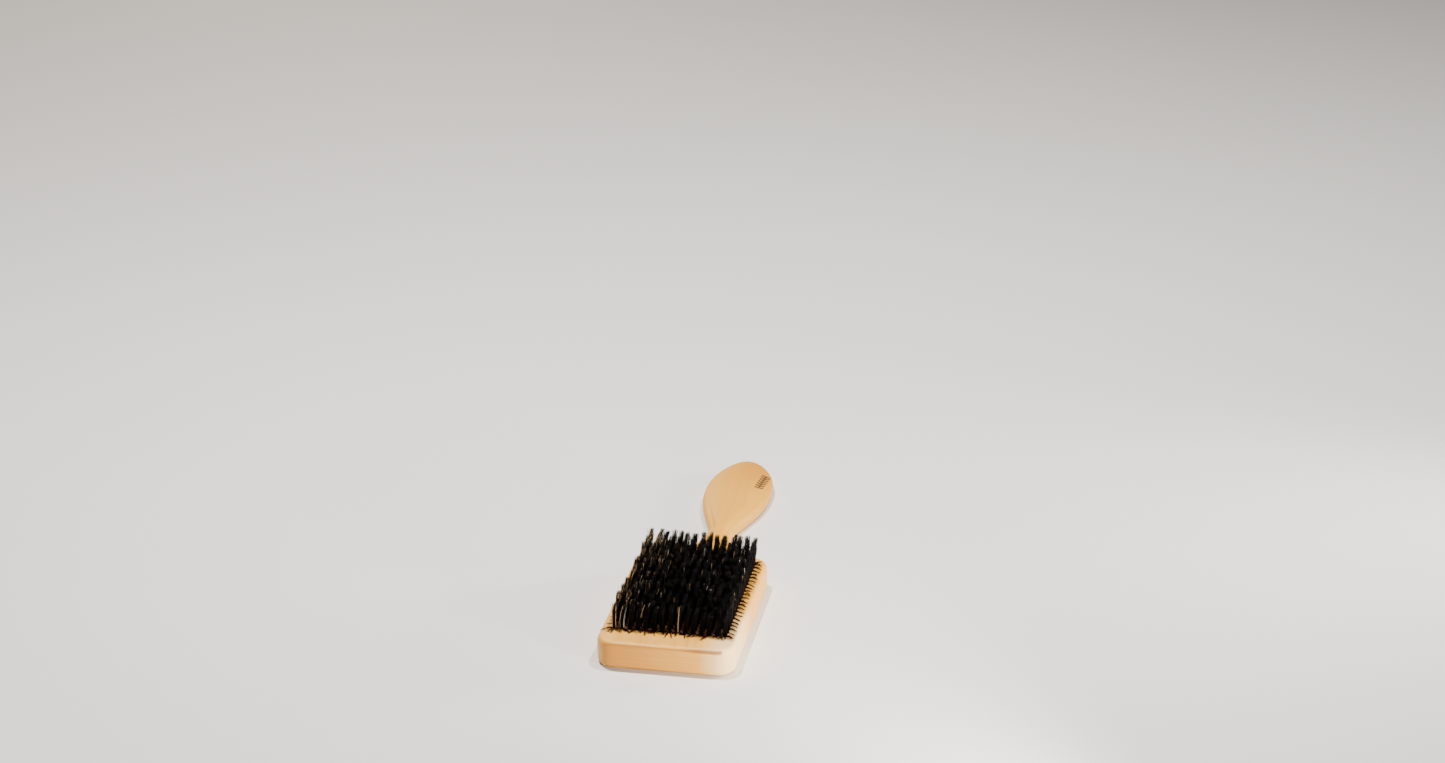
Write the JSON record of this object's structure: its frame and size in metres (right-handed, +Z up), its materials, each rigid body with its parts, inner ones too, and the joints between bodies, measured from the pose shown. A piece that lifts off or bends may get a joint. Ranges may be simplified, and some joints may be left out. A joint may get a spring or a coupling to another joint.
{
  "type": "beard brush",
  "caption": "Flat wooden paddle beard brush: rectangular head with rounded corners, even rows of dark bristle tufts, and a spoon-shaped handle with a narrow neck.",
  "frame": {"origin": "under the middle of the brush's overall length, on the plane its wooden underside lies on", "axes": "+Y along the brush from the front of the head to the tip of the handle, +Z up out of the bristle face, +X across the head"},
  "size_m": [0.066, 0.2256, 0.0286],
  "materials": {
    "stock_wood": "satin",
    "cover_wood": "satin",
    "bristle": "matte",
    "drawing_wire": "drawn"
  },
  "bodies": {
    "root": {"brush_stock": "stock_wood", "back_cover": "cover_wood", "tuft_row_01": "bristle", "tuft_row_02": "bristle", "tuft_row_03": "bristle", "tuft_row_04": "bristle", "tuft_row_05": "bristle", "tuft_row_06": "bristle", "tuft_row_07": "bristle", "tuft_row_08": "bristle", "tuft_row_09": "bristle", "tuft_row_10": "bristle", "tuft_row_11": "bristle", "tuft_row_12": "bristle", "tuft_row_13": "bristle", "tuft_row_14": "bristle", "tuft_row_15": "bristle", "tuft_row_16": "bristle", "tuft_row_17": "bristle", "tuft_row_18": "bristle", "tuft_row_19": "bristle", "tuft_row_20": "bristle", "tuft_row_21": "bristle", "tuft_row_22": "bristle", "drawing_wire_01": "drawing_wire", "drawing_wire_02": "drawing_wire", "drawing_wire_03": "drawing_wire", "drawing_wire_04": "drawing_wire", "drawing_wire_05": "drawing_wire", "drawing_wire_06": "drawing_wire", "drawing_wire_07": "drawing_wire", "drawing_wire_08": "drawing_wire", "drawing_wire_09": "drawing_wire", "drawing_wire_10": "drawing_wire", "drawing_wire_11": "drawing_wire", "drawing_wire_12": "drawing_wire", "drawing_wire_13": "drawing_wire", "drawing_wire_14": "drawing_wire", "drawing_wire_15": "drawing_wire", "drawing_wire_16": "drawing_wire", "drawing_wire_17": "drawing_wire", "drawing_wire_18": "drawing_wire", "drawing_wire_19": "drawing_wire", "drawing_wire_20": "drawing_wire", "drawing_wire_21": "drawing_wire", "drawing_wire_22": "drawing_wire"}
  },
  "joints": []
}
